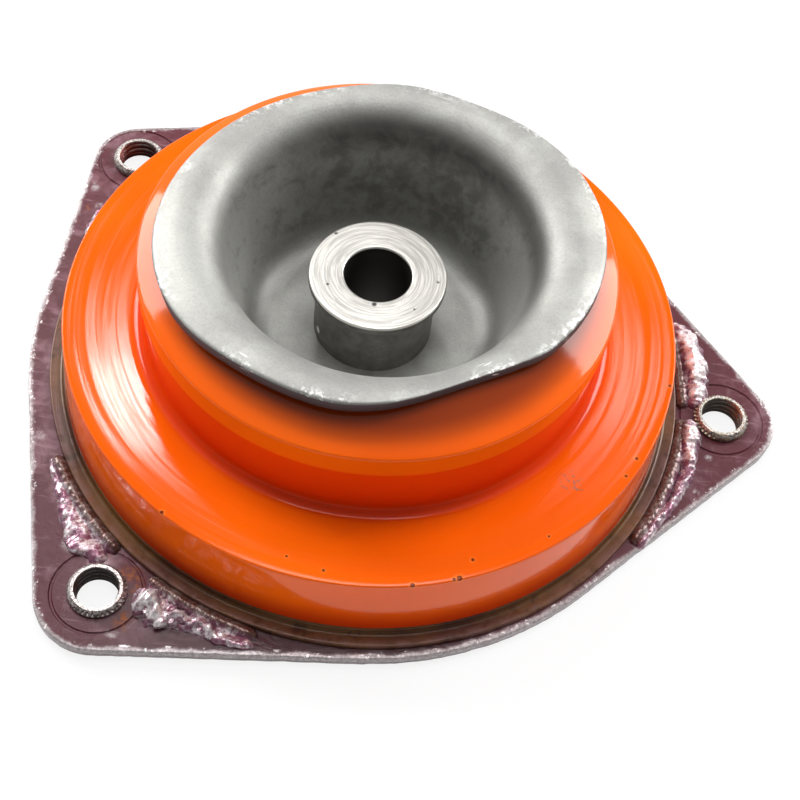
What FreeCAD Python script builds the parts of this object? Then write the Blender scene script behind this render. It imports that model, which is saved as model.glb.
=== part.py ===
import FreeCAD, Part
import math
import os
import re
import Sketcher
from FreeCAD import Placement, Rotation, Vector

# Strut top mount: a three-eared steel plate carries a drawn housing ring, an orange
# polyurethane body is cast through that ring, and a dished cup with a flanged sleeve
# for the strut rod is bonded into its top. Millimetres, +Z up. The origin lies on the
# strut rod's axis, in the plane of the plate's underside.

os.makedirs("parts", exist_ok=True)
doc = FreeCAD.newDocument("StrutTopMount")

# Driving dimensions. Heights are measured up from the plate's underside, radii from the
# rod's axis or a piece's own, and what fits another piece is given as its clearance.

sizes = {
    "body_radius": 65.0,
    "body_height": 21.6,
    "body_draft_width": 0.6,
    "recess_height": 0.8,
    "neck_radius": 48.2,
    "neck_fillet_radius": 2.4,
    "ring_step_width": 0.7,
    "ring_drop_height": 7.8,
    "ring_side_height": 5.4,
    "ring_round_radius": 0.6,
    "ring_slope_angle": 22.0,
    "housing_gap_width": 1.0,
    "housing_thickness": 1.2,
    "housing_flare_radius": 2.2,
    "housing_foot_width": 3.0,
    "housing_wall_height": 0.8,
    "shelf_radius": 42.0,
    "ledge_width": 6.0,
    "plate_thickness": 3.0,
    "plate_margin_width": 3.2,
    "disc_shift_width": 1.8,
    "disc_shift_azimuth": 148.5,
    "hole_offset_width": 6.9,
    "rear_azimuth": 141.3,
    "front_azimuth": 235.0,
    "side_azimuth": 360.0,
    "rear_ear_radius": 10.5,
    "front_ear_radius": 12.7,
    "side_ear_radius": 12.0,
    "mark_radius": 9.6,
    "mark_width": 0.7,
    "mark_depth": 0.3,
    "bead_radius": 2.5,
    "bead_sink_depth": 0.3,
    "rear_left_angle": 10.0,
    "rear_left_sweep": 14.0,
    "rear_right_angle": 10.0,
    "rear_right_sweep": 14.0,
    "front_left_angle": 6.0,
    "front_left_sweep": 16.0,
    "front_right_angle": 5.0,
    "front_right_sweep": 19.0,
    "side_left_angle": 4.0,
    "side_left_sweep": 16.0,
    "side_right_angle": 5.0,
    "side_right_sweep": 18.0,
    "bush_bore_radius": 4.25,
    "bush_wall_thickness": 0.95,
    "bush_collar_width": 0.8,
    "bush_stand_height": 1.8,
    "bush_bevel_width": 0.8,
    "bore_bevel_width": 0.35,
    "tooth_count": 36,
    "tooth_depth": 0.7,
    "tooth_height": 1.0,
    "cup_thickness": 2.5,
    "cup_floor_height": 18.6,
    "cup_height": 48.8,
    "cup_corner_radius": 33.4,
    "cup_wall_angle": 75.0,
    "floor_fillet_radius": 5.0,
    "lip_roll_radius": 8.0,
    "lip_crown_width": 0.2,
    "lip_reach_width": 5.2,
    "lip_droop_angle": 15.0,
    "oval_end_width": 0.3,
    "oval_side_width": 5.6,
    "oval_azimuth": 22.5,
    "flat_trim_width": 7.3,
    "flat_azimuth": 302.0,
    "sleeve_bore_radius": 7.0,
    "sleeve_wall_thickness": 5.5,
    "sleeve_stand_height": 16.7,
    "sleeve_bevel_width": 0.5,
    "flange_width": 1.8,
    "flange_thickness": 1.8,
    "washer_radius": 27.0,
    "washer_thickness": 2.5,
}

sheet = doc.addObject("Spreadsheet::Sheet", "Sizes")
for row, (alias, value) in enumerate(sizes.items(), 1):
    sheet.set("A%d" % row, alias)
    sheet.set("B%d" % row, str(value))
    sheet.setAlias("B%d" % row, alias)
doc.recompute()


def bound(text):
    """Turns a formula in plain size names into an expression on the sheet."""
    return re.sub(r"\b([a-z]+_[a-z]+(_[a-z]+)*)\b", r"Sizes.\1", text)


def degrees(text):
    return "(%s) * 1 deg" % bound(text)


def worked_out(text):
    """The number that a formula in size names gives now."""
    return float(sheet.evalExpression(bound(text)))


# Radii, heights and corners that several pieces share, as formulas in size names

housing_wall = "(body_radius + housing_gap_width)"
housing_inside = "(body_radius + housing_gap_width - housing_thickness)"
housing_foot = "(body_radius + housing_gap_width + housing_foot_width)"
plate_radius = "(%s + plate_margin_width)" % housing_foot
hole_circle = "(%s + hole_offset_width)" % plate_radius
plate_opening = "(%s - ledge_width)" % housing_wall
shelf_top = "(plate_thickness + housing_thickness * 2 + housing_flare_radius + housing_wall_height)"
shelf_under = "(%s - housing_thickness)" % shelf_top
bush_shank = "(bush_bore_radius + bush_wall_thickness)"
bush_collar = "(%s + bush_collar_width)" % bush_shank
bush_top = "(plate_thickness + bush_stand_height)"
sleeve_radius = "(sleeve_bore_radius + sleeve_wall_thickness)"
sleeve_top = "(cup_floor_height + sleeve_stand_height)"
flange_radius = "(%s + flange_width)" % sleeve_radius
washer_top = "(recess_height + washer_thickness)"
ring_radius = "(neck_radius + ring_step_width)"
ring_top = "(cup_height - ring_drop_height)"
ring_bottom = "(%s - ring_side_height)" % ring_top
cone_top = "(%s + (%s - cup_corner_radius) * tan(ring_slope_angle * 1 deg))" % (ring_top, ring_radius)
half_turn = "tan(cup_wall_angle / 2 * 1 deg)"
half_droop = "tan(lip_droop_angle / 2 * 1 deg)"
cup_foot = "(cup_corner_radius - (cup_height - cup_floor_height) / tan(cup_wall_angle * 1 deg))"
lip_bend = "(cup_corner_radius + lip_roll_radius * (%s + %s) + lip_crown_width)" % (half_turn, half_droop)
cup_radius = "(%s + lip_reach_width)" % lip_bend
rim_height = "(cup_height - lip_reach_width * tan(lip_droop_angle * 1 deg))"
sheet_under = "(cup_height - cup_thickness)"
seat_foot = "(%s + cup_thickness * %s)" % (cup_foot, half_turn)
seat_corner = "(cup_corner_radius + cup_thickness * %s)" % half_turn


def new_body(label):
    body = doc.addObject("PartDesign::Body", label)
    body.Label = label
    return body


def new_sketch(body, name, role, turn=None, lift=None):
    """A sketch on one of the body's own planes, turned and lifted by formulas."""
    plane = [f for f in body.Origin.OriginFeatures if f.Role == role][0]
    sketch = body.newObject("Sketcher::SketchObject", name)
    sketch.AttachmentSupport = (plane, [""])
    sketch.MapMode = "FlatFace"
    if turn:
        angle = worked_out(turn)
        sketch.AttachmentOffset = Placement(Vector(), Rotation(Vector(0, 0, 1), angle))
        sketch.setExpression("AttachmentOffset.Rotation.Angle", degrees(turn))
    if lift:
        sketch.setExpression("AttachmentOffset.Base.z", bound(lift))
    return sketch


def drive(sketch, kind, geometry, formula):
    """Adds a constraint whose value follows a formula in size names."""
    index = sketch.addConstraint(Sketcher.Constraint(kind, *geometry, worked_out(formula)))
    sketch.setExpression("Constraints[%d]" % index, bound(formula))


def place_point(sketch, geo, end, across, up):
    """Holds a point at two formulas, or on an axis where a formula is 0."""
    if across == "0":
        sketch.addConstraint(Sketcher.Constraint("PointOnObject", geo, end, -2))
    else:
        drive(sketch, "DistanceX", (-1, 1, geo, end), across)
    if up == "0":
        sketch.addConstraint(Sketcher.Constraint("PointOnObject", geo, end, -1))
    else:
        drive(sketch, "DistanceY", (-1, 1, geo, end), up)


def draw_outline(sketch, corners):
    """A closed outline through corners (across, up, radius), rounded where given."""
    points = [Vector(worked_out(c[0]), worked_out(c[1]), 0) for c in corners]
    count = len(corners)
    trims = []
    for i, corner in enumerate(corners):
        trim = 0.0
        if len(corner) == 3:
            back = (points[i - 1] - points[i]).normalize()
            ahead = (points[(i + 1) % count] - points[i]).normalize()
            half = back.getAngle(ahead) / 2
            trim = worked_out(corner[2]) / math.tan(half)
        trims.append(trim)
    lines = []
    for i in range(count):
        start, finish = points[i], points[(i + 1) % count]
        run = Vector(finish - start).normalize()
        tail, head = start + run * trims[i], finish - run * trims[(i + 1) % count]
        lines.append(sketch.addGeometry(Part.LineSegment(tail, head), False))
    for i, corner in enumerate(corners):
        before, after = lines[i - 1], lines[i]
        if len(corner) == 2:
            sketch.addConstraint(Sketcher.Constraint("Coincident", before, 2, after, 1))
            place_point(sketch, after, 1, corner[0], corner[1])
            continue
        mark = sketch.addGeometry(Part.Point(points[i]), True)
        place_point(sketch, mark, 1, corner[0], corner[1])
        sketch.addConstraint(Sketcher.Constraint("PointOnObject", mark, 1, before))
        sketch.addConstraint(Sketcher.Constraint("PointOnObject", mark, 1, after))
        round_corner(sketch, before, after, points[i], corner[2])


def round_corner(sketch, before, after, corner, radius):
    """An arc tangent to the end of one line and the start of the next."""
    size = worked_out(radius)
    entry = sketch.getPoint(before, 2)
    leave = sketch.getPoint(after, 1)
    toward = (entry + leave) * 0.5 - corner
    reach = math.hypot(size, (entry - corner).Length)
    centre = corner + toward.normalize() * reach
    middle = centre + (corner - centre).normalize() * size
    arc = sketch.addGeometry(Part.Arc(entry, middle, leave), False)
    near = 1 if (sketch.getPoint(arc, 1) - entry).Length < 1e-4 else 2
    sketch.addConstraint(Sketcher.Constraint("Tangent", before, 2, arc, near))
    sketch.addConstraint(Sketcher.Constraint("Tangent", after, 1, arc, 3 - near))
    drive(sketch, "Radius", (arc,), radius)


def draw_circle(sketch, radius, across="0"):
    centre = Vector(worked_out(across), 0, 0)
    ring = Part.Circle(centre, Vector(0, 0, 1), worked_out(radius))
    geo = sketch.addGeometry(ring, False)
    place_point(sketch, geo, 3, across, "0")
    drive(sketch, "Radius", (geo,), radius)


def revolve(body, name, corners, kind="Revolution"):
    """Turns an outline drawn in the XZ plane about the body's own Z axis."""
    sketch = new_sketch(body, name + "_outline", "XZ_Plane")
    draw_outline(sketch, corners)
    feature = body.newObject("PartDesign::" + kind, name)
    feature.Profile = sketch
    feature.ReferenceAxis = (sketch, ["V_Axis"])
    feature.Angle = 360.0
    body.Tip = feature
    doc.recompute()
    return feature


def pad(body, name, sketch, height):
    feature = body.newObject("PartDesign::Pad", name)
    feature.Profile = sketch
    feature.setExpression("Length", bound(height))
    body.Tip = feature
    doc.recompute()
    return feature


def pocket(body, name, sketch, depth, upward=False):
    """Cuts down from the sketch, or up from it."""
    before = body.Shape.Volume
    feature = body.newObject("PartDesign::Pocket", name)
    feature.Profile = sketch
    feature.Reversed = upward
    feature.setExpression("Length", bound(depth))
    body.Tip = feature
    doc.recompute()
    if body.Shape.Volume >= before:
        raise RuntimeError(name + " cuts nothing")
    return feature


# Mounting plate: a disc, cut a little off the axis, with three ears on lines tangent to it

ears = {name: (name + "_azimuth", name + "_ear_radius") for name in ("rear", "front", "side")}


def draw_ear(sketch, azimuth, radius):
    """Ear arc, two lines tangent to it and to the disc, and two spokes to the disc's centre."""
    shift_angle = "((disc_shift_azimuth - %s) * 1 deg)" % azimuth
    shift_out = "disc_shift_width * cos(%s)" % shift_angle
    shift_beside = "disc_shift_width * sin(%s)" % shift_angle
    disc, ear = worked_out(plate_radius), worked_out(radius)
    middle = Vector(worked_out(shift_out), worked_out(shift_beside), 0)
    centre = Vector(worked_out(hole_circle), 0, 0)
    reach = centre - middle
    aim = math.atan2(reach.y, reach.x)
    lean = math.acos((disc - ear) / reach.Length)
    high = Vector(math.cos(aim + lean), math.sin(aim + lean), 0)
    low = Vector(math.cos(aim - lean), math.sin(aim - lean), 0)
    shape = [
        Part.ArcOfCircle(Part.Circle(centre, Vector(0, 0, 1), ear), aim - lean, aim + lean),
        Part.LineSegment(centre + high * ear, middle + high * disc),
        Part.LineSegment(middle + high * disc, middle),
        Part.LineSegment(middle, middle + low * disc),
        Part.LineSegment(middle + low * disc, centre + low * ear),
    ]
    arc, upper, spoke_up, spoke_down, lower = sketch.addGeometry(shape, False)
    rules = [
        ("Tangent", arc, 2, upper, 1),
        ("Tangent", arc, 1, lower, 2),
        ("Coincident", upper, 2, spoke_up, 1),
        ("Coincident", spoke_up, 2, spoke_down, 1),
        ("Coincident", spoke_down, 2, lower, 1),
        ("Perpendicular", upper, spoke_up),
        ("Perpendicular", lower, spoke_down),
    ]
    for rule in rules:
        sketch.addConstraint(Sketcher.Constraint(*rule))
    place_point(sketch, arc, 3, hole_circle, "0")
    place_point(sketch, spoke_down, 1, shift_out, shift_beside)
    drive(sketch, "Radius", (arc,), radius)
    drive(sketch, "Distance", (spoke_up,), plate_radius)
    drive(sketch, "Distance", (spoke_down,), plate_radius)


plate = new_body("mounting_plate")
disc_sketch = new_sketch(plate, "disc_outline", "XY_Plane", "disc_shift_azimuth")
draw_circle(disc_sketch, plate_radius, "disc_shift_width")
pad(plate, "disc", disc_sketch, "plate_thickness")
for name, (azimuth, radius) in ears.items():
    ear_sketch = new_sketch(plate, name + "_ear_outline", "XY_Plane", azimuth)
    draw_ear(ear_sketch, azimuth, radius)
    pad(plate, name + "_lobe", ear_sketch, "plate_thickness")
opening_sketch = new_sketch(plate, "opening_outline", "XY_Plane")
draw_circle(opening_sketch, plate_opening)
pocket(plate, "opening", opening_sketch, "plate_thickness", upward=True)
for name, (azimuth, radius) in ears.items():
    hole_sketch = new_sketch(plate, name + "_hole_outline", "XY_Plane", azimuth)
    draw_circle(hole_sketch, bush_shank, hole_circle)
    pocket(plate, name + "_hole", hole_sketch, "plate_thickness", upward=True)
    mark_sketch = new_sketch(plate, name + "_mark_outline", "XY_Plane", azimuth, "plate_thickness")
    draw_circle(mark_sketch, "mark_radius", hole_circle)
    draw_circle(mark_sketch, "mark_radius - mark_width", hole_circle)
    pocket(plate, name + "_mark", mark_sketch, "mark_depth")

# Drawn housing: a ring whose foot flares onto the plate and whose shelf keys the casting

housing = new_body("housing_ring")
revolve(housing, "housing", [
    (housing_foot, "plate_thickness"),
    (housing_foot, "plate_thickness + housing_thickness"),
    (housing_wall, "plate_thickness + housing_thickness", "housing_flare_radius"),
    (housing_wall, shelf_top, "housing_thickness"),
    ("shelf_radius", shelf_top),
    ("shelf_radius", shelf_under),
    (housing_inside, shelf_under),
    (housing_inside, "plate_thickness", "housing_flare_radius + housing_thickness"),
])

# Weld beads: two beside each ear's bush, laid in the corner of plate and housing foot

bead_path = "(%s + bead_radius - bead_sink_depth)" % housing_foot
bead_height = "(plate_thickness + bead_sink_depth)"
bead_pieces = []


def add_bead(name, start, sweep):
    """A round-ended length of bead from one azimuth, both angles formulas in size names."""
    bead = doc.addObject("Part::Torus", name + "_bead")
    bead.setExpression("Radius1", bound(bead_path))
    bead.setExpression("Radius2", bound("bead_radius"))
    bead.setExpression("Angle3", bound(sweep))
    bead.Placement = Placement(Vector(), Rotation(Vector(0, 0, 1), worked_out(start)))
    bead.setExpression("Placement.Rotation.Angle", degrees(start))
    bead.setExpression("Placement.Base.z", bound(bead_height))
    pieces = [bead]
    for side, angle in (("near", start), ("far", start + " + " + sweep)):
        end = doc.addObject("Part::Sphere", name + "_bead_" + side)
        end.setExpression("Radius", bound("bead_radius"))
        along = "cos((%s) * 1 deg)" % angle
        beside = "sin((%s) * 1 deg)" % angle
        end.setExpression("Placement.Base.x", bound(bead_path + " * " + along))
        end.setExpression("Placement.Base.y", bound(bead_path + " * " + beside))
        end.setExpression("Placement.Base.z", bound(bead_height))
        pieces.append(end)
    joined = doc.addObject("Part::MultiFuse", name + "_bead_whole")
    joined.Shapes = pieces
    return joined


for name, (azimuth, radius) in ears.items():
    left, right = name + "_left", name + "_right"
    bead_pieces.append(add_bead(left, azimuth + " + %s_angle" % left, left + "_sweep"))
    bead_pieces.append(add_bead(right, azimuth + " - %s_angle - %s_sweep" % (right, right), right + "_sweep"))
all_beads = doc.addObject("Part::Compound", "all_beads")
all_beads.Links = bead_pieces
bead_bed = doc.addObject("Part::Compound", "bead_bed")
bead_bed.Links = [plate, housing]
welds = doc.addObject("Part::Cut", "weld_beads")
welds.Label = "weld_beads"
welds.Base = all_beads
welds.Tool = bead_bed

# Threaded bushes: pressed through the ears, with a serrated collar standing on top


def add_bush(name, azimuth):
    bush = new_body(name + "_threaded_bush")
    revolve(bush, name + "_bush", [
        ("bush_bore_radius", "0"),
        (bush_shank, "0"),
        (bush_shank, "plate_thickness"),
        (bush_collar, "plate_thickness"),
        (bush_collar, bush_top + " - bush_bevel_width"),
        (bush_collar + " - bush_bevel_width", bush_top),
        ("bush_bore_radius + bore_bevel_width", bush_top),
        ("bush_bore_radius", bush_top + " - bore_bevel_width"),
    ])
    tooth_sketch = new_sketch(bush, name + "_tooth_outline", "XY_Plane", lift=bush_top)
    half_pitch = "(%s * tan(180 deg / tooth_count))" % bush_collar
    draw_outline(tooth_sketch, [
        (bush_collar + " - tooth_depth", "0"),
        (bush_collar + " + tooth_depth", half_pitch),
        (bush_collar + " + tooth_depth", "-" + half_pitch),
    ])
    notch = pocket(bush, name + "_notch", tooth_sketch, "tooth_height")
    axis = [f for f in bush.Origin.OriginFeatures if f.Role == "Z_Axis"][0]
    teeth = bush.newObject("PartDesign::PolarPattern", name + "_teeth")
    teeth.Originals = [notch]
    teeth.Axis = (axis, [""])
    teeth.Angle = 360.0
    teeth.setExpression("Occurrences", bound("tooth_count"))
    bush.Tip = teeth
    bush.setExpression("Placement.Base.x", bound(hole_circle + " * cos(%s * 1 deg)" % azimuth))
    bush.setExpression("Placement.Base.y", bound(hole_circle + " * sin(%s * 1 deg)" % azimuth))
    return bush


bushes = [add_bush(name, azimuth) for name, (azimuth, radius) in ears.items()]

# Polyurethane body: cast through the housing shelf, turned outline with neck and top ring

casting = new_body("polyurethane_body")
revolve(casting, "casting", [
    ("0", "recess_height"),
    (plate_opening, "recess_height"),
    (plate_opening, "plate_thickness"),
    (housing_inside, "plate_thickness"),
    (housing_inside, shelf_under),
    ("shelf_radius", shelf_under),
    ("shelf_radius", shelf_top),
    ("body_radius + body_draft_width", shelf_top),
    ("body_radius", "body_height"),
    ("neck_radius", "body_height", "neck_fillet_radius"),
    ("neck_radius", ring_bottom),
    (ring_radius, ring_bottom),
    (ring_radius, ring_top, "ring_round_radius"),
    ("cup_corner_radius", cone_top),
    ("0", cone_top),
])
revolve(casting, "cup_seat", [
    ("0", "cup_floor_height - cup_thickness"),
    (seat_foot, "cup_floor_height - cup_thickness", "floor_fillet_radius + cup_thickness"),
    (seat_corner, sheet_under, "lip_roll_radius - cup_thickness"),
    (ring_radius, sheet_under),
    (ring_radius, "cup_height"),
    ("0", "cup_height"),
], "Groove")
revolve(casting, "sleeve_seat", [
    ("0", "0"),
    (sleeve_radius, "0"),
    (sleeve_radius, "cup_floor_height"),
    ("0", "cup_floor_height"),
], "Groove")
revolve(casting, "washer_seat", [
    ("0", "0"),
    ("washer_radius", "0"),
    ("washer_radius", washer_top),
    ("0", washer_top),
], "Groove")

# Top cup: a pressed dish with a rolled lip, trimmed to an oval with one flat

dish = new_body("cup_dish")
edge_in = cup_radius + " - cup_thickness * sin(lip_droop_angle * 1 deg)"
edge_down = rim_height + " - cup_thickness * cos(lip_droop_angle * 1 deg)"
revolve(dish, "dish", [
    (sleeve_radius, "cup_floor_height"),
    (sleeve_radius, "cup_floor_height - cup_thickness"),
    (seat_foot, "cup_floor_height - cup_thickness", "floor_fillet_radius + cup_thickness"),
    (seat_corner, sheet_under, "lip_roll_radius - cup_thickness"),
    (lip_bend + " - cup_thickness * " + half_droop, sheet_under, "lip_roll_radius - cup_thickness"),
    (edge_in, edge_down),
    (cup_radius, rim_height),
    (lip_bend, "cup_height", "lip_roll_radius"),
    ("cup_corner_radius", "cup_height", "lip_roll_radius"),
    (cup_foot, "cup_floor_height", "floor_fillet_radius"),
])
flat_sketch = new_sketch(dish, "flat_outline", "XY_Plane", "flat_azimuth")
draw_outline(flat_sketch, [
    (cup_radius + " - flat_trim_width", "-" + cup_radius),
    (cup_radius + " * 2", "-" + cup_radius),
    (cup_radius + " * 2", cup_radius),
    (cup_radius + " - flat_trim_width", cup_radius),
])
pocket(dish, "flat", flat_sketch, "cup_height + cup_thickness", upward=True)

oval = doc.addObject("Part::Ellipse", "oval_outline")
oval.setExpression("MajorRadius", bound(cup_radius + " - oval_end_width"))
oval.setExpression("MinorRadius", bound(cup_radius + " - oval_side_width"))
oval.setExpression("Placement.Rotation.Angle", degrees("oval_azimuth"))
trimmer = doc.addObject("Part::Extrusion", "oval_trimmer")
trimmer.Base = oval
trimmer.DirMode = "Custom"
trimmer.Dir = Vector(0, 0, 1)
trimmer.Solid = True
trimmer.setExpression("LengthFwd", bound("cup_height + cup_thickness"))
cup = doc.addObject("Part::Common", "top_cup")
cup.Label = "top_cup"
cup.Base = dish
cup.Tool = trimmer

# Centre sleeve: flanged steel tube that the strut rod passes through

sleeve = new_body("centre_sleeve")
revolve(sleeve, "sleeve", [
    ("sleeve_bore_radius", "0"),
    (sleeve_radius, "0"),
    (sleeve_radius, sleeve_top + " - flange_thickness"),
    (flange_radius, sleeve_top + " - flange_thickness"),
    (flange_radius, sleeve_top + " - sleeve_bevel_width"),
    (flange_radius + " - sleeve_bevel_width", sleeve_top),
    ("sleeve_bore_radius + sleeve_bevel_width", sleeve_top),
    ("sleeve_bore_radius", sleeve_top + " - sleeve_bevel_width"),
])

# Lower washer: steel disc set in the underside of the casting round the sleeve's foot

washer = new_body("lower_washer")
revolve(washer, "washer", [
    (sleeve_radius, "recess_height"),
    ("washer_radius", "recess_height"),
    ("washer_radius", washer_top),
    (sleeve_radius, washer_top),
])

# Check every object, then write one file for each piece

doc.recompute()
for item in doc.Objects:
    if "Invalid" in item.State or "Error" in item.State:
        raise RuntimeError("%s failed: %s" % (item.Name, item.State))

pieces = [plate, housing, welds, *bushes, casting, cup, sleeve, washer]
for piece in pieces:
    if piece.Shape.isNull() or not piece.Shape.isValid():
        raise RuntimeError(piece.Label + " has no valid shape")
    if piece.Shape.Volume <= 0:
        raise RuntimeError(piece.Label + " has no volume")
for piece in pieces:
    piece.Shape.exportStep("parts/%s.step" % piece.Label)
    print("%-22s %2d solid %9.0f mm3" % (piece.Label, len(piece.Shape.Solids), piece.Shape.Volume))
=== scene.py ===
import math
import bmesh
import bpy
from mathutils import Matrix, Vector, noise
from mathutils.geometry import delaunay_2d_cdt
from mathutils.kdtree import KDTree


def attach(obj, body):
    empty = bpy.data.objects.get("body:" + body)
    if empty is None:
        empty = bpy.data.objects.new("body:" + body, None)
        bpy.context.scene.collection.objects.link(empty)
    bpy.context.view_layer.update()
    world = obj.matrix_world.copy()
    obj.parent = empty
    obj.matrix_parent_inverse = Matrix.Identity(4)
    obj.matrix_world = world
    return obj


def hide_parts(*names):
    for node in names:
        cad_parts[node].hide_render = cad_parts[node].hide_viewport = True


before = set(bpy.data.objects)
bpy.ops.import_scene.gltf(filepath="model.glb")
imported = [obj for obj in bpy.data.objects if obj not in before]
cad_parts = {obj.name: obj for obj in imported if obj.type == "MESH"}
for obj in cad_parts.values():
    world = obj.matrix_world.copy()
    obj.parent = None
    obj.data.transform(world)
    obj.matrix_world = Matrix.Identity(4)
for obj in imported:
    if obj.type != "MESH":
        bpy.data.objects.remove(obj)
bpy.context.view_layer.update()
mm = 0.001
print("frame loaded:", len(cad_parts), "nodes")


# Shader maths: a Wire is a socket that can stand in a sum, a Graph is one finish's node tree

class Wire:
    def __init__(self, graph, socket):
        self.graph, self.socket = graph, socket

    def __add__(self, other):
        return self.graph.maths("ADD", self, other)

    def __radd__(self, other):
        return self.graph.maths("ADD", other, self)

    def __sub__(self, other):
        return self.graph.maths("SUBTRACT", self, other)

    def __rsub__(self, other):
        return self.graph.maths("SUBTRACT", other, self)

    def __mul__(self, other):
        return self.graph.maths("MULTIPLY", self, other)

    def __rmul__(self, other):
        return self.graph.maths("MULTIPLY", other, self)

    def __truediv__(self, other):
        return self.graph.maths("DIVIDE", self, other)

    def __pow__(self, other):
        return self.graph.maths("POWER", self, other)


class Graph:
    def __init__(self, name, kind="materials"):
        self.material = getattr(bpy.data, kind).new(name)
        self.material.use_nodes = True
        self.tree = self.material.node_tree
        self.tree.nodes.clear()
        self.where = self.add("ShaderNodeTexCoord", out="Object" if kind == "materials" else "Generated")

    def add(self, kind, settings=None, values=None, out=0):
        node = self.tree.nodes.new(kind)
        for key, value in (settings or {}).items():
            setattr(node, key, value)
        pairs = values.items() if isinstance(values, dict) else enumerate(values or [])
        for key, value in pairs:
            if isinstance(value, Wire):
                self.tree.links.new(value.socket, node.inputs[key])
            else:
                node.inputs[key].default_value = value
        return Wire(self, node.outputs[out]) if node.outputs else node

    def maths(self, operation, *terms):
        return self.add("ShaderNodeMath", {"operation": operation}, list(terms))

    def smooth(self, value, low, high, start=0.0, end=1.0):
        return self.add("ShaderNodeMapRange", {"interpolation_type": "SMOOTHSTEP"},
                        {"Value": value, "From Min": low, "From Max": high, "To Min": start, "To Max": end})

    def grain(self, size, detail=3.0, rough=0.55, warp=0.0, where=None):
        # noise with features about that many millimetres across, or that many units of where
        return self.add("ShaderNodeTexNoise", None, {
            "Vector": where or self.where, "Scale": (1.0 if where else 1000.0) / size, "Detail": detail,
            "Roughness": rough, "Distortion": warp})

    def split(self):
        parts = self.add("ShaderNodeSeparateXYZ", None, [self.where])
        return [Wire(self, socket) for socket in parts.socket.node.outputs]

    def polar(self, centre=(0, 0)):
        # distance from an upright axis and height, both in millimetres, and the unit direction
        x, y, z = self.split()
        x, y = x - centre[0] * mm, y - centre[1] * mm
        reach = (x * x + y * y) ** 0.5
        return reach * 1000.0, z * 1000.0, x / reach, y / reach

    def stretched(self, x, y, z):
        # coordinates with that many waves to the metre along each axis
        return self.add("ShaderNodeVectorMath", {"operation": "MULTIPLY"}, [self.where, (x, y, z)])

    def rings(self, radius, height, dirX, dirY, along, across):
        # coordinates for marks drawn out round the axis: along and across are the marks' sizes in mm
        turn = 50.0 / along
        return self.add("ShaderNodeCombineXYZ", None,
                        [dirX * turn, dirY * turn, radius / across + height / (across * 1.7)])

    def facing(self, axis):
        # 1 where the direction is along the axis, 0 across it
        return self.add("ShaderNodeVectorMath", {"operation": "DOT_PRODUCT"}, [self.where, axis], out="Value")

    def mix(self, factor, first, second):
        return self.add("ShaderNodeMix", {"data_type": "RGBA"}, {0: factor, 6: first, 7: second}, out=2)

    def near(self, point, size, soft=0.4):
        # 1 inside a ball round a point, both in millimetres, falling to 0 at its skin
        there = tuple(mm * c for c in point)
        away = self.add("ShaderNodeVectorMath", {"operation": "DISTANCE"}, [self.where, there], out="Value")
        return self.smooth(away, size * mm * (1 - soft), size * mm, 1.0, 0.0)

    def bump(self, height, depth, under=None):
        # depth is in millimetres for a height of 1
        values = {"Height": height, "Distance": depth * mm, "Strength": 1.0}
        if under:
            values["Normal"] = under
        return self.add("ShaderNodeBump", None, values)

    def attribute(self, name):
        return self.add("ShaderNodeAttribute", {"attribute_name": name}, out="Fac")

    def finish(self, **sockets):
        values = {socketName(key): value for key, value in sockets.items()}
        shader = self.add("ShaderNodeBsdfPrincipled", None, values)
        self.add("ShaderNodeOutputMaterial", None, [shader])
        return self.material


def socketName(key):
    # baseColor to "Base Color", specularIorLevel to "Specular IOR Level"
    words = "".join(" " + c if c.isupper() else c for c in key)
    return words.title().replace("Ior", "IOR")


def shade(code):
    # a web colour as the linear values that a socket takes
    parts = [int(code[i:i + 2], 16) / 255 for i in (1, 3, 5)]
    linear = [c / 12.92 if c <= 0.04045 else ((c + 0.055) / 1.055) ** 2.4 for c in parts]
    return (*linear, 1.0)


# Mesh helpers

def roundedRun(corners, step=1.0, closed=True, arcStep=15):
    # points along an outline of (radius, height[, rounding]) corners, in millimetres
    count = len(corners)
    spots = [Vector(c[:2]) for c in corners]
    run = []
    for i, corner in enumerate(corners):
        here = spots[i]
        if len(corner) == 2 or (not closed and i in (0, count - 1)):
            run.append(here)
            continue
        back = (spots[i - 1] - here).normalized()
        ahead = (spots[(i + 1) % count] - here).normalized()
        half = back.angle(ahead) / 2
        size = corner[2]
        centre = here + (back + ahead).normalized() * size / math.sin(half)
        first = here + back * size / math.tan(half) - centre
        sweep = first.angle_signed(here + ahead * size / math.tan(half) - centre)
        pieces = max(2, round(abs(math.degrees(sweep)) / arcStep))
        for k in range(pieces + 1):
            turn = -sweep * k / pieces
            c, s = math.cos(turn), math.sin(turn)
            run.append(centre + Vector((first.x * c - first.y * s, first.x * s + first.y * c)))
    fine = []
    ends = run[1:] + run[:1] if closed else run[1:] + [run[-1]]
    for start, end in zip(run, ends):
        parts = max(1, math.ceil((end - start).length / step)) if end != start else 1
        fine += [start.lerp(end, k / parts) for k in range(parts)]
    return fine


def gridMesh(name, grids, creased=40, wrap=True):
    # each grid is a list of closed loops of one length, joined into a skin that closes round
    # both ways, or is capped at its two ends
    points, faces = [], []
    for loops in grids:
        start, height, width = len(points), len(loops[0]), len(loops)
        points += [p for loop in loops for p in loop]
        for i in range(width if wrap else width - 1):
            for j in range(height):
                here, there = start + i * height, start + (i + 1) % width * height
                k = (j + 1) % height
                faces.append((here + j, there + j, there + k, here + k))
        if not wrap:
            faces.append([start + j for j in range(height)])
            faces.append([start + (width - 1) * height + j for j in range(height)])
    return settle(name, points, faces, creased)


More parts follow.
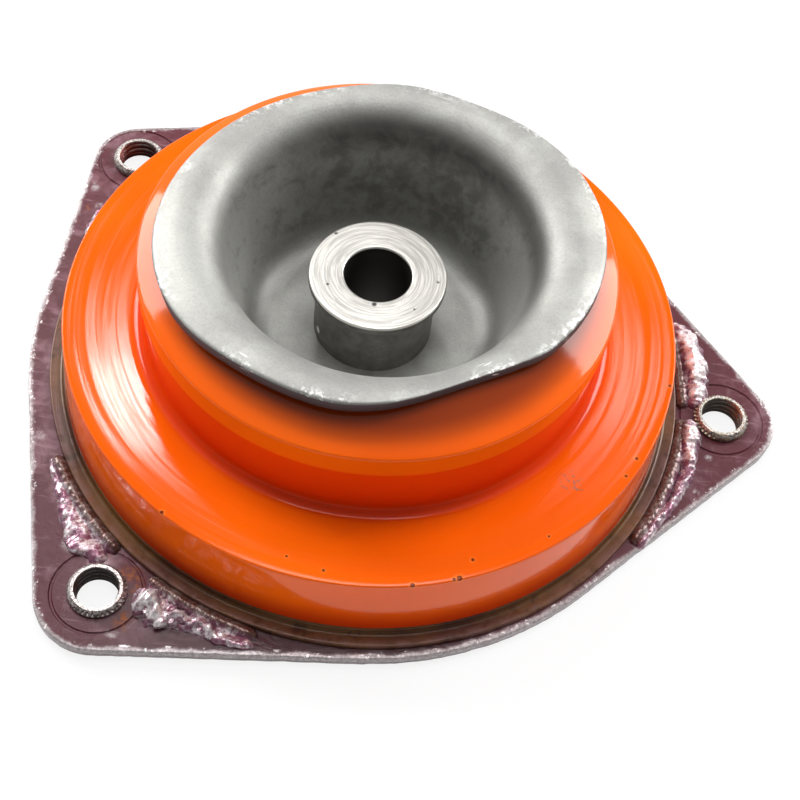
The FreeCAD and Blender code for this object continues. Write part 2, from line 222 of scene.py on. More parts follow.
def settle(name, points, faces, creased=40):
    mesh = bpy.data.meshes.new(name)
    mesh.from_pydata([tuple(c * mm for c in p) for p in points], [], faces)
    work = bmesh.new()
    work.from_mesh(mesh)
    bmesh.ops.recalc_face_normals(work, faces=work.faces)
    work.to_mesh(mesh)
    work.free()
    mesh.shade_smooth()
    mesh.set_sharp_from_angle(angle=math.radians(creased))
    piece = bpy.data.objects.new(name, mesh)
    bpy.context.scene.collection.objects.link(piece)
    return piece


def turned(name, outline, count, creased=40, shape=None, centre=(0, 0)):
    # an outline of (radius, height) points turned about an upright axis
    columns = []
    for i in range(count):
        angle = math.tau * i / count
        column = []
        for point in outline:
            radius, height = shape(angle, *point) if shape else point
            x, y = radius * math.cos(angle), radius * math.sin(angle)
            column.append((centre[0] + x, centre[1] + y, height))
        columns.append(column)
    return gridMesh(name, [columns], creased)


def marked(piece, name, values):
    # one number per point, which a finish reads by name
    piece.data.attributes.new(name, "FLOAT", "POINT").data.foreach_set("value", values)


def dress(piece, material, slot, *nodes):
    piece.data.materials.clear()
    piece.data.materials.append(material)
    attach(piece, "root")
    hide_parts(*nodes)
    print(piece.name, len(piece.data.polygons), "faces")
    return piece


def wander(x, y, z, size):
    # smooth noise from -1 to 1 with features of that size in millimetres
    return noise.noise(Vector((x, y, z)) / size)


def eased(value, low, high):
    # 0 at low and 1 at high, smooth between them
    share = min(1.0, max(0.0, (value - low) / (high - low)))
    return share * share * (3 - 2 * share)


def atAzimuth(azimuth, radius, height=0.0):
    # a place from its azimuth in degrees
    turn = math.radians(azimuth)
    return (radius * math.cos(turn), radius * math.sin(turn), height)


# Pressed cup: a dish with a rolled lip, trimmed to an oval with one flat

cup = {
    "bore": 12.5, "floor": 18.6, "top": 48.8, "corner": 33.4, "wallAngle": 75.0,
    "floorRound": 5.0, "lipRound": 8.0, "crown": 0.2, "reach": 5.2, "droop": 15.0,
    "sheet": 2.5, "endTrim": 0.3, "sideTrim": 5.6, "ovalAzimuth": 22.5,
    "flatTrim": 7.3, "flatAzimuth": 302.0, "columns": 540, "edgeRound": 0.35,
    # where the hand-trimmed rim swells or falls back: azimuth, amount and spread
    "swells": [(92, 0.6, 13), (68, -0.8, 11), (30, 0.5, 14), (236, -0.7, 14), (267, 0.9, 13)],
    # nicks in the rim, how softly the flat blends in, and the sheet's unevenness
    "nickDepth": 0.25, "nickSize": 1.3, "flatBlend": 1.6, "wave": 0.12, "waveSize": 16,
    "light": "#b0b0ab", "mid": "#9b9a96", "dark": "#5b5956", "edge": "#4a4043",
    # the dark band colour is painted shade on the bowl's far wall
    "band": "#474543", "dust": "#6a6865", "scraped": "#f2f2f0",
    # painted shade: a soft dark patch just inside the roll, and its centre in millimetres
    "rollShade": "#34322f", "rollShadePlace": (35.5, 19.5, 42.0),
}


def cupRuns():
    # the dish's upper and lower skins, from the bore out to the rim, in millimetres
    turn = math.tan(math.radians(cup["wallAngle"]) / 2)
    droop = math.radians(cup["droop"])
    foot = cup["corner"] - (cup["top"] - cup["floor"]) / math.tan(math.radians(cup["wallAngle"]))
    bend = cup["corner"] + cup["lipRound"] * (turn + math.tan(droop / 2)) + cup["crown"]
    rim = bend + cup["reach"]
    rimTop = cup["top"] - cup["reach"] * math.tan(droop)
    sheet = cup["sheet"]
    upper = [(cup["bore"], cup["floor"]), (foot, cup["floor"], cup["floorRound"]),
             (cup["corner"], cup["top"], cup["lipRound"]), (bend, cup["top"], cup["lipRound"]), (rim, rimTop)]
    lower = [(cup["bore"], cup["floor"] - sheet),
             (foot + sheet * turn, cup["floor"] - sheet, cup["floorRound"] + sheet),
             (cup["corner"] + sheet * turn, cup["top"] - sheet, cup["lipRound"] - sheet),
             (bend - sheet * math.tan(droop / 2), cup["top"] - sheet, cup["lipRound"] - sheet),
             (rim - sheet * math.sin(droop), rimTop - sheet * math.cos(droop))]
    return (roundedRun(upper, 0.8, closed=False, arcStep=6), roundedRun(lower, 1.5, closed=False, arcStep=10))


def heightAt(run, radius):
    # the skin's height where it crosses that radius
    for start, end in zip(run, run[1:]):
        if start.x <= radius <= end.x and end.x > start.x:
            return start.y + (end.y - start.y) * (radius - start.x) / (end.x - start.x)
    return run[-1].y


def rimReach(angle, rim):
    # how far out the trimmed rim stands: an oval, one flat, and the trimming's own unevenness
    end, side = rim - cup["endTrim"], rim - cup["sideTrim"]
    turn = angle - math.radians(cup["ovalAzimuth"])
    oval = end * side / math.hypot(side * math.cos(turn), end * math.sin(turn))
    for azimuth, amount, spread in cup["swells"]:
        away = (math.degrees(angle) - azimuth + 180) % 360 - 180
        oval += amount * math.exp(-(away / spread) ** 2)
    lean = math.cos(angle - math.radians(cup["flatAzimuth"]))
    flat = (rim - cup["flatTrim"]) / max(lean, 0.1)
    gap = max(0.0, 1 - abs(oval - flat) / cup["flatBlend"])
    return min(oval, flat) - cup["flatBlend"] / 4 * gap * gap


def buildCup():
    upper, lower = cupRuns()
    rim, inner = upper[-1].x, cup["corner"] + 2
    soft = cup["edgeRound"]
    columns, rimMarks, cutMarks = [], [], []
    for i in range(cup["columns"]):
        angle = math.tau * i / cup["columns"]
        limit = min(rimReach(angle, rim), rim)
        nick = wander(math.cos(angle) * 30, math.sin(angle) * 30, 5, cup["nickSize"]) - 0.3
        limit -= cup["nickDepth"] * max(0, nick)
        column = []
        for skin, end in ((upper, limit), (lower, min(lower[-1].x, limit))):
            side = []
            for point in skin:
                radius, height = point
                if radius > inner:
                    radius = inner + (radius - inner) * (end - soft - inner) / (skin[-1].x - inner)
                    height = heightAt(skin, radius)
                side.append((radius, height))
            last = heightAt(skin, end)
            down = -1 if skin is upper else 1
            side += [(end - soft * 0.3, last + down * soft * 0.3), (end, last + down * soft)]
            column.append(side)
        rimMarks += [max(0, 1 - (limit - r) / 4) for r, _ in column[0]] + [0.0] * len(column[1])
        cutMarks += [0.0] * (len(column[0]) - 1) + [1.0, 1.0] + [0.6] * (len(column[1]) - 1)
        bent = []
        for radius, height in column[0] + column[1][::-1]:
            x, y = radius * math.cos(angle), radius * math.sin(angle)
            lift = cup["wave"] * wander(x, y, height, cup["waveSize"]) if radius > 20 else 0
            bent.append((x, y, min(height + lift, cup["top"])))
        columns.append(bent)
    piece = gridMesh("pressedCup", [columns], 35)
    marked(piece, "rim", rimMarks)
    marked(piece, "cut", cutMarks)
    return piece


def cupFinish():
    g = Graph("blastedSteel")
    radius, height, dirX, dirY = g.polar()
    rim, cut = g.attribute("rim"), g.attribute("cut")
    cloud = g.grain(22, 3, 0.5, 0.4)
    blotch = g.grain(4.5, 5, 0.65, 0.3)
    speck = g.grain(0.5, 2, 0.7)
    steel = g.mix(g.smooth(cloud * 0.7 + blotch * 0.3, 0.38, 0.62), shade(cup["mid"]), shade(cup["light"]))
    # stains in the bowl, with painted shade: only the bowl is darkened, more towards the far wall
    bowl = g.smooth(height, 20, 25) * g.smooth(height, 47.5, 42)
    stainAndShade = bowl * g.smooth(blotch * 0.75 + cloud * 0.5 + dirY * 0.1, 0.62, 0.86)
    steel = g.mix(stainAndShade * 0.6, steel, shade(cup["dark"]))
    # painted shade: a dark band high on the bowl's far wall, under the lip's bend
    far = g.smooth(dirX * 0.55 + dirY * 0.83, -0.1, 0.7)
    band = g.smooth(height, 37, 43) * g.smooth(height, 47.6, 44.5) * far
    steel = g.mix(band * (0.45 + 0.4 * blotch), steel, shade(cup["band"]))
    # painted shade: a soft dark patch just inside the roll on the far right of the bowl
    steel = g.mix(g.near(cup["rollShadePlace"], 6.5, 0.9) * 0.7, steel, shade(cup["rollShade"]))
    steel = g.mix(g.smooth(speck, 0.42, 0.7) * 0.16, steel, shade(cup["dust"]))
    steel = g.mix(cut, steel, shade(cup["edge"]))
    scrape = g.smooth(g.grain(1, 2, 0.6, 0, g.rings(radius, height, dirX, dirY, 9, 0.8)), 0.6, 0.66)
    scrape = scrape * g.smooth(g.grain(11, 2), 0.56, 0.66) * g.smooth(rim, 0.1, 0.4)
    nicks = rim ** 3 * g.smooth(g.grain(1.3, 3, 0.7), 0.5, 0.58) * g.smooth(g.grain(12, 1), 0.42, 0.55)
    bright = nicks * (1 - cut) + scrape * 0.8
    steel = g.mix(bright, steel, shade(cup["scraped"]))
    bump = g.bump(speck * 0.7 + blotch * 0.5, 0.06)
    rough = 0.5 - bright * 0.2 + speck * 0.1
    return g.finish(baseColor=steel, roughness=rough, metallic=0.66 - 0.3 * cut, normal=bump)


# Cast body: outer wall, shoulder, neck, top ring and the cone that meets the cup

body = {
    "recess": 0.8, "opening": 60.0, "shelfIn": 42.0, "housingIn": 64.8, "housingTop": 5.6, "shelfSheet": 1.2,
    "plate": 3.0, "foot": 65.6, "crease": 65.0, "shoulder": 21.6, "creaseRound": 0.4, "neck": 48.2,
    "neckRound": 2.4, "ring": 48.9, "ringLow": 35.6, "ringTop": 41.0, "ringRound": 0.6, "ringSlope": 22.0,
    "washer": 27.0, "washerTop": 3.3, "ringLowRound": 0.15, "seatPast": 5, "seatGap": 0.3,
    "step": 1.2, "columns": 512,
    # deep is painted shade on the neck, low is painted shade at the wall's foot, shade is painted shade on
    # the cone
    "colour": "#fb6608", "warm": "#f35e06", "deep": "#e82f04", "low": "#c02c08", "shade": "#7a2a0c",
    # air bubbles cut open at the surface: azimuth, radius and size of each
    "pinholes": [(284.4, 64.7, 0.55), (291.6, 64.6, 0.4), (292.6, 64.6, 0.65), (238.6, 64.8, 0.5),
                 (335.6, 63.3, 0.45), (331.1, 63.6, 0.4), (269, 62.4, 0.35), (296, 61.4, 0.4),
                 (354, 64.2, 0.4), (262, 61.2, 0.3), (311, 62.8, 0.3)],
    "scuff": (322.8, 56.4),
    # the hole colour is painted shade in the pinholes' pits
    "halo": "#ff9a4a", "hole": "#5a1404", "scuffed": "#8a6a5c",
    # unevenness of the sides and of the tops: depth and size
    "sideWave": (0.06, 26), "topWave": (0.04, 20),
    # marks left by the mould and by turning: length round the axis, width and depth
    "mouldMarks": (90, 4.6, 0.15), "turningMarks": (22, 0.5, 0.008),
}


def buildBody():
    lower = cupRuns()[1]
    slope = math.tan(math.radians(body["ringSlope"]))

    def coneHeight(radius):
        return body["ringTop"] + (body["ring"] - radius) * slope

    seat = [p for p in lower if p.y < coneHeight(p.x) and p.x < cup["corner"] + body["seatPast"]]
    seatEnd = seat[-1].x + body["seatGap"]
    outline = roundedRun([
        (cup["bore"], body["washerTop"]), (body["washer"], body["washerTop"]),
        (body["washer"], body["recess"]), (body["opening"], body["recess"]),
        (body["opening"], body["plate"]), (body["housingIn"], body["plate"]),
        (body["housingIn"], body["housingTop"] - body["shelfSheet"]),
        (body["shelfIn"], body["housingTop"] - body["shelfSheet"]),
        (body["shelfIn"], body["housingTop"]), (body["foot"], body["housingTop"]),
        (body["crease"], body["shoulder"], body["creaseRound"]),
        (body["neck"], body["shoulder"], body["neckRound"]),
        (body["neck"], body["ringLow"]), (body["ring"], body["ringLow"], body["ringLowRound"]),
        (body["ring"], body["ringTop"], body["ringRound"]),
        (seatEnd, coneHeight(seatEnd)),
    ], body["step"], closed=False)
    outline += seat[::-1]
    sideWave, sideSize = body["sideWave"]
    topWave, topSize = body["topWave"]

    def shape(angle, radius, height):
        x, y = radius * math.cos(angle), radius * math.sin(angle)
        if height > body["housingTop"] + 1:
            radius -= sideWave * (1 + wander(x, y, height, sideSize))
            height -= topWave * (1 + wander(y, x, height, topSize))
        return radius, height

    return turned("castBody", outline, body["columns"], 30, shape)


def bodyFinish():
    g = Graph("orangePolyurethane")
    radius, height, dirX, dirY = g.polar()
    cloud = g.grain(40, 2, 0.5)
    base = g.mix(g.smooth(cloud, 0.35, 0.65), shade(body["colour"]), shade(body["warm"]))
    # painted shade: the neck under the top ring is a deeper red
    neck = g.smooth(radius, 51.5, 49.2) * g.smooth(height, 36.5, 34)
    base = g.mix(neck * 0.75, base, shade(body["deep"]))
    # the cone is a browner orange where the cup's lip shades it
    ahead = g.smooth(dirX * 0.8 - dirY, -0.6, 0.7)
    shaded = g.smooth(radius, 48.6, 42.0) * g.smooth(height, 40.8, 42.5) * ahead
    base = g.mix(shaded * 0.85, base, shade(body["shade"]))
    # painted shade: the wall turns a darker red towards its foot, by the housing
    base = g.mix(g.smooth(height, 14, 5.6) * 0.85, base, shade(body["low"]))
    long, wide, deep = body["mouldMarks"]
    coarse = g.grain(1, 2, 0.5, 0, g.rings(radius, height, dirX, dirY, long, wide))
    fineLong, fineWide, fineDeep = body["turningMarks"]
    fine = g.grain(1, 2, 0.5, 0, g.rings(radius, height, dirX, dirY, fineLong, fineWide))
    flatTop = g.smooth(height, 20.9, 21.3) * g.smooth(height, 22.6, 22.0)
    bump = g.bump(coarse * (0.35 + 0.65 * flatTop), deep)
    bump = g.bump(fine * (0.25 + 0.75 * flatTop), fineDeep, bump)
    holes, rims = 0.0, 0.0
    for azimuth, reach, size in body["pinholes"]:
        spot = g.near(atAzimuth(azimuth, reach, body["shoulder"]), size, 0.5)
        halo = g.near(atAzimuth(azimuth, reach, body["shoulder"]), size * 2.4, 0.6)
        holes, rims = holes + spot, rims + halo
    scuff = g.near(atAzimuth(*body["scuff"], body["shoulder"]), 3.2, 0.5)
    scuff = scuff * g.smooth(g.grain(0.9, 2), 0.55, 0.62)
    base = g.mix(rims * 0.25, base, shade(body["halo"]))
    # painted shade: each pinhole's pit is a dark spot
    base = g.mix(holes * 0.85, base, shade(body["hole"]))
    base = g.mix(scuff * 0.8, base, shade(body["scuffed"]))
    bump = g.bump(1 - holes, 0.3, bump)
    rough = 0.08 + 0.08 * g.smooth(fine, 0.35, 0.7) * flatTop + 0.25 * scuff
    return g.finish(baseColor=base, roughness=rough, normal=bump, anisotropic=0.4,
                    specularIorLevel=0.24)


# Centre sleeve

sleeve = {
    "bore": 7.0, "radius": 12.5, "top": 35.3, "flange": 14.3, "flangeSheet": 1.8, "bevel": 0.5,
    "underRound": 0.3, "step": 1.0, "columns": 256,
    "bright": "#dad7d1", "ring": "#8f8c86", "side": "#6c6965", "inside": "#4a4540",
    "sideLight": "#868380", "blotch": "#6d6a64", "speck": "#3b3833", "glue": "#f4f3ee",
    # dark specks on the turned face: azimuth, radius and size
    "specks": [(272, 7.9, 0.7), (1.4, 12.4, 0.5), (137.6, 13.6, 0.6), (205, 10.8, 0.4), (318, 11.4, 0.35)],
    # drops of white glue: azimuth, radius, height and size
    "drops": [(219, 13.6, 33.2, 1.1), (221, 12.7, 31.0, 0.8), (209.3, 12.6, 21.6, 1.0)],
}


def buildSleeve():
    bevel, under = sleeve["bevel"], sleeve["top"] - sleeve["flangeSheet"]
    soft = sleeve["underRound"]
    outline = roundedRun([
        (sleeve["bore"], 0), (sleeve["radius"], 0), (sleeve["radius"], under, soft),
        (sleeve["flange"], under, soft), (sleeve["flange"], sleeve["top"], bevel),
        (sleeve["bore"], sleeve["top"], bevel)], sleeve["step"])
    return turned("centreSleevePiece", outline, sleeve["columns"], 35)


def sleeveFinish():
    g = Graph("machinedSteel")
    radius, height, dirX, dirY = g.polar()
    face = g.smooth(height, sleeve["top"] - 0.55, sleeve["top"] - 0.3)
    rings = g.grain(1, 2, 0.6, 0, g.rings(radius, height, dirX, dirY, 30, 0.35))
    blotch = g.grain(2.2, 5, 0.75)
    bright = g.mix(g.smooth(rings, 0.35, 0.65) * 0.6, shade(sleeve["bright"]), shade(sleeve["ring"]))
    bright = g.mix(g.smooth(blotch, 0.6, 0.72) * 0.5, bright, shade(sleeve["blotch"]))
    side = g.mix(g.smooth(g.grain(4, 3, 0.6), 0.3, 0.7), shade(sleeve["side"]), shade(sleeve["sideLight"]))
    side = g.mix(g.smooth(radius, 8.0, 7.2), side, shade(sleeve["inside"]))
    colour = g.mix(face, side, bright)
    specks, drops = 0.0, 0.0
    for azimuth, reach, size in sleeve["specks"]:
        specks = specks + g.near(atAzimuth(azimuth, reach, sleeve["top"]), size, 0.6)
    for azimuth, reach, high, size in sleeve["drops"]:
        drops = drops + g.near(atAzimuth(azimuth, reach, high), size, 0.4)
    colour = g.mix(specks * g.smooth(blotch, 0.35, 0.5), colour, shade(sleeve["speck"]))
    colour = g.mix(drops, colour, shade(sleeve["glue"]))
    bump = g.bump(rings, 0.03)
    bump = g.bump(drops, 0.4, bump)
    return g.finish(baseColor=colour, roughness=0.45 - 0.08 * face, metallic=0.8 - 0.8 * drops, normal=bump,
                    anisotropic=0.4)


# Mounting plate: a flat disc with three ears, each round a bush and ringed by a press mark

plate = {
    "radius": 72.2, "shift": 1.8, "shiftAzimuth": 148.5, "circle": 79.1, "thick": 3.0, "opening": 60.0,
    "ears": {"rear": (141.3, 10.5), "front": (235.0, 12.7), "side": (0.0, 12.0)},
    "hole": 5.2, "mark": (8.85, 9.65), "markDepth": 0.3, "markSide": 0.22, "markRun": 0.3,
    "bevel": 0.5, "columns": 560, "grid": 1.2, "gridSpan": 95, "gridRow": 0.87,
    # lilac and the streak colour: the lacquer's own patchy tone, with painted sheen
    "plum": "#56262f", "lilac": "#8f6c76", "dark": "#361820", "bare": "#b7aeaf", "rust": "#8c4a1e",
    "streakAndSheen": "#b595a2", "grey": "#8b8384", "shine": "#f3eff0",
    # the near-white is for nicks worn to bare metal, and for a painted highlight along the edge
    # unevenness of the top, wear and chips along the edge: depth and size
    "wave": (0.05, 9), "edgeWear": (0.16, 2.2), "edgeChips": (0.12, 5),
    # how far the grid's points keep from the edge, the holes and the press marks' rings
    "keepOff": (1.3, 0.7, 0.45),
    # worn places: azimuth, radius, size and how bare
    "worn": [(150.4, 80.3, 2.4, 0.9), (153.5, 76.1, 1.8, 0.7), (241, 83.5, 2.0, 0.7), (226, 76.0, 3.4, 0.8),
             (231, 74.4, 3.2, 0.8), (345, 76.8, 1.2, 0.9), (352, 77.4, 1.4, 0.9), (205, 72.5, 2.5, 0.6)],
    "rusty": [(236.6, 72.7, 4.0), (240.4, 73.6, 3.2), (241, 80.2, 3.0), (231, 73.6, 2.4), (154.9, 77.3, 1.4),
              (3, 72.4, 3.0), (357, 73.0, 3.2)],
}


def earCentre(name):
    return atAzimuth(plate["ears"][name][0], plate["circle"])[:2]


def discCentre():
    return atAzimuth(plate["shiftAzimuth"], plate["shift"])[:2]


def plateReach(angle):
    # from the disc's own centre out to the edge: the disc, or an ear's arc and its two tangents
    middle, big = discCentre(), plate["radius"]
    reach = big
    for name, (_, size) in plate["ears"].items():
        ear = earCentre(name)
        across, up = ear[0] - middle[0], ear[1] - middle[1]
        far = math.hypot(across, up)
        lean = math.acos((big - size) / far)
        tip = math.atan2(size * math.sin(lean), far + size * math.cos(lean))
        off = abs((angle - math.atan2(up, across) + math.pi) % math.tau - math.pi)
        if off < tip:
            reach = max(reach, far * math.cos(off) + math.sqrt(size ** 2 - (far * math.sin(off)) ** 2))
        elif off < lean:
            reach = max(reach, big / math.cos(lean - off))
    return reach


def plateEdge(inset):
    # the outline, cut back by a little and nicked along its length
    middle, loop = discCentre(), []
    wear, wearSize = plate["edgeWear"]
    chip, chipSize = plate["edgeChips"]
    for i in range(plate["columns"]):
        angle = math.tau * i / plate["columns"]
        reach = plateReach(angle)
        x, y = math.cos(angle) * reach, math.sin(angle) * reach
        reach -= inset + wear * abs(wander(x, y, 3, wearSize))
        reach -= chip * eased(wander(x, y, 9, chipSize), 0.1, 0.5)
        loop.append((middle[0] + reach * math.cos(angle), middle[1] + reach * math.sin(angle)))
    return loop


def circleOf(centre, radius, count):
    turns = [math.tau * i / count for i in range(count)]
    return [(centre[0] + radius * math.cos(t), centre[1] + radius * math.sin(t)) for t in turns]


def insideHoles(x, y, spare=0.0):
    if math.hypot(x, y) < plate["opening"] + spare:
        return True
    return any(math.dist((x, y), earCentre(name)) < plate["hole"] + spare for name in plate["ears"])


def plateTop(x, y):
    wave, size = plate["wave"]
    beyondHousing = 1 - eased(math.hypot(x, y), 70, 68)
    height = plate["thick"] - wave * (1 + wander(x, y, 1, size)) * beyondHousing
    low, high = plate["mark"]
    for name in plate["ears"]:
        away = abs(math.dist((x, y), earCentre(name)) - (low + high) / 2)
        height -= plate["markDepth"] * eased(away, (high - low) / 2, (high - low) / 5)
    return height


def buildPlate():
    low, high = plate["mark"]
    bevel, thick = plate["bevel"], plate["thick"]
    centres = [earCentre(name) for name in plate["ears"]]
    cut = [plateEdge(bevel), circleOf((0, 0), plate["opening"], 360)]
    cut += [circleOf(centre, plate["hole"], 72) for centre in centres]
    side, run = plate["markSide"], plate["markRun"]
    rings = [low - run, low, low + side, high - side, high, high + run]
    loops = cut + [circleOf(centre, radius, 132) for centre in centres for radius in rings]
    flat, edges = [], []
    for loop in loops:
        start = len(flat)
        flat += loop
        edges += [(start + i, start + (i + 1) % len(loop)) for i in range(len(loop))]
    middle, pitch = discCentre(), plate["grid"]
    offEdge, offHole, offRing = plate["keepOff"]
    rows = int(plate["gridSpan"] / pitch)
    for i in range(-rows, rows):
        for j in range(-rows, rows):
            x, y = (i + j % 2 / 2) * pitch, j * pitch * plate["gridRow"]
            away = math.dist((x, y), middle)
            reach = plateReach(math.atan2(y - middle[1], x - middle[0]))
            if away > reach - offEdge or insideHoles(x, y, offHole):
                continue
            near = min(abs(math.dist((x, y), c) - radius) for c in centres for radius in rings)
            if near > offRing:
                flat.append((x, y))
    found = delaunay_2d_cdt([Vector(p) for p in flat], edges, [], 1, 1e-5)
    spots, triangles, place = [tuple(p) for p in found[0]], [], {}
    for i, originals in enumerate(found[3]):
        for original in originals:
            place[original] = i
    for face in found[2]:
        x, y = (sum(spots[i][k] for i in face) / 3 for k in (0, 1))
        if not insideHoles(x, y):
            triangles.append(tuple(face))
    count = len(spots)
    points = [(x, y, plateTop(x, y)) for x, y in spots] + [(x, y, 0.0) for x, y in spots]
    faces = triangles + [tuple(i + count for i in reversed(face)) for face in triangles]
    start = 0
    for loop in cut:
        top = [place[start + i] for i in range(len(loop))]
        rows = [top, [i + count for i in top]]
        if start == 0:
            # rounded over the top and cut back a little at the foot
            for inset, height in ((0.15, thick - 0.12), (0.0, thick - 0.42), (0.0, 1.3), (0.12, 0.2)):
                ring = plateEdge(inset)
                rows.insert(-1, [len(points) + i for i in range(len(ring))])
                points += [(x, y, height) for x, y in ring]
        for upper, lower in zip(rows, rows[1:]):
            for i in range(len(loop)):
                k = (i + 1) % len(loop)
                faces.append((upper[i], upper[k], lower[k], lower[i]))
        start += len(loop)
    used = sorted({i for face in faces for i in face})
    renumbered = {old: new for new, old in enumerate(used)}
    points = [points[i] for i in used]
    faces = [tuple(renumbered[i] for i in face) for face in faces]
    piece = settle("earedPlate", points, faces, 30)
    rim = KDTree(plate["columns"])
    for i, (x, y) in enumerate(plateEdge(0)):
        rim.insert((x, y, 0), i)
    rim.balance()
    marked(piece, "edge", [max(0.0, 1 - rim.find((x, y, 0))[2] / 5) for x, y, _ in points])
    return piece


def plateFinish():
    g = Graph("plateLacquer")
    edge = g.attribute("edge")
    _, height, _, dirY = g.polar()
    cloud = g.grain(16, 3, 0.55, 0.8)
    blotch = g.grain(5, 4, 0.65, 0.6)
    streakAndSheen = g.grain(1, 3, 0.6, 0.4, g.stretched(140, 900, 140))
    speck = g.grain(0.7, 3, 0.7)
    # the lacquer's own patchy tone, with painted sheen: pale lilac patches and streaks
    toneAndSheen = g.smooth(cloud * 0.6 + blotch * 0.4, 0.48, 0.72)
    colour = g.mix(toneAndSheen, shade(plate["plum"]), shade(plate["lilac"]))
    colour = g.mix(g.smooth(blotch, 0.38, 0.24) * 0.7, colour, shade(plate["dark"]))
    colour = g.mix(g.smooth(streakAndSheen, 0.55, 0.75) * 0.25, colour, shade(plate["streakAndSheen"]))
    # painted shade: the front of the plate, before the body, is darker
    colour = g.mix(g.smooth(dirY, -0.8, -0.98) * 0.7, colour, shade(plate["dark"]))
    bare = g.smooth(edge + (blotch - 0.5) * 0.5, 0.72, 0.95) * g.smooth(height, 1.0, 2.0) * 0.8
    bare = bare + g.smooth(height, 2.4, 1.6) * 0.5
    for azimuth, reach, size, share in plate["worn"]:
        bare = bare + g.near(atAzimuth(azimuth, reach, 3), size, 0.8) * g.smooth(blotch, 0.36, 0.6) * share
    bare = g.smooth(bare, 0.0, 1.0)
    rust = 0.0
    for azimuth, reach, size in plate["rusty"]:
        rust = rust + g.near(atAzimuth(azimuth, reach, 3), size, 0.8)
    rust = rust * g.smooth(g.grain(1.6, 4, 0.7), 0.42, 0.62)
    metal = g.mix(g.smooth(speck, 0.35, 0.65), shade(plate["bare"]), shade(plate["grey"]))
    colour = g.mix(bare, colour, metal)
    colour = g.mix(rust, colour, shade(plate["rust"]))
    # nicks worn to bare metal near the edge, and a painted highlight: a pale line just inside the rounded
    # edge
    nick = g.smooth(g.grain(1.1, 3, 0.75), 0.58, 0.63)
    nick = nick * g.smooth(edge, 0.72, 0.9) * g.smooth(cloud, 0.4, 0.55)
    edgeHighlight = g.smooth(edge, 0.70, 0.76) * g.smooth(edge, 0.86, 0.8) * g.smooth(g.grain(3, 3, 0.7), 0.55, 0.66)
    bright = g.smooth(nick + edgeHighlight, 0.0, 1.0) * g.smooth(height, 2.4, 2.8)
    colour = g.mix(bright * 0.85, colour, shade(plate["shine"]))
    bump = g.bump(blotch, 0.25)
    bump = g.bump(speck, 0.02, bump)
    rough = 0.27 + 0.12 * speck + 0.3 * rust
    return g.finish(baseColor=colour, roughness=rough, metallic=0.45 * bare, normal=bump,
                    specularIorLevel=0.35)


# Drawn housing: foot on the plate, wall round the casting, shelf that keys into it

housing = {
    "foot": 69.0, "wall": 66.0, "sheet": 1.2, "flare": 0.8, "top": 5.6, "shelf": 42.0, "base": 3.0,
    "footRound": 0.35, "topRound": 0.5, "baseRound": 0.4, "step": 0.8,
    "wave": 0.08, "waveSize": 12, "columns": 360,
    "brown": "#4a2616", "olive": "#6b4520", "dark": "#2a120c", "lilac": "#7a5652", "rust": "#7a3d18",
}


def buildHousing():
    foot, wall, sheet, top = (housing[key] for key in ("foot", "wall", "sheet", "top"))
    base, flare, shelf = housing["base"], housing["flare"], housing["shelf"]
    outline = roundedRun([
        (foot, base), (foot, base + sheet, housing["footRound"]), (wall, base + sheet, flare),
        (wall, top, housing["topRound"]), (shelf, top), (shelf, top - sheet),
        (wall - sheet, top - sheet), (wall - sheet, base, housing["baseRound"])], housing["step"])

    def shape(angle, radius, height):
        x, y = radius * math.cos(angle), radius * math.sin(angle)
        if radius > wall - sheet + 0.5:
            radius -= housing["wave"] * (1 + wander(x, y, height, housing["waveSize"]))
        return radius, height

    return turned("drawnHousing", outline, housing["columns"], 35, shape)


def housingFinish():
    g = Graph("housingLacquer")
    radius, height = g.polar()[:2]
    cloud = g.grain(18, 3, 0.5, 0.4)
    blotch = g.grain(3, 4, 0.65)
    colour = g.mix(g.smooth(cloud, 0.36, 0.64), shade(housing["brown"]), shade(housing["olive"]))
    colour = g.mix(g.smooth(blotch, 0.45, 0.3) * 0.6, colour, shade(housing["dark"]))
    foot = g.smooth(height, 4.9, 4.3) * g.smooth(radius, 67.0, 68.0)
    colour = g.mix(foot * g.smooth(blotch, 0.35, 0.6) * 0.45, colour, shade(housing["lilac"]))
    rust = g.smooth(g.grain(1.8, 4, 0.7), 0.56, 0.66) * g.smooth(cloud, 0.5, 0.62)
    colour = g.mix(rust * 0.7, colour, shade(housing["rust"]))
    bump = g.bump(blotch, 0.12)
    rough = 0.24 + 0.14 * blotch + 0.3 * rust
    return g.finish(baseColor=colour, roughness=rough, metallic=0.08, normal=bump,
                    specularIorLevel=0.4)


# Weld beads: lumpy runs beside the bushes, over a low fillet against the housing's foot

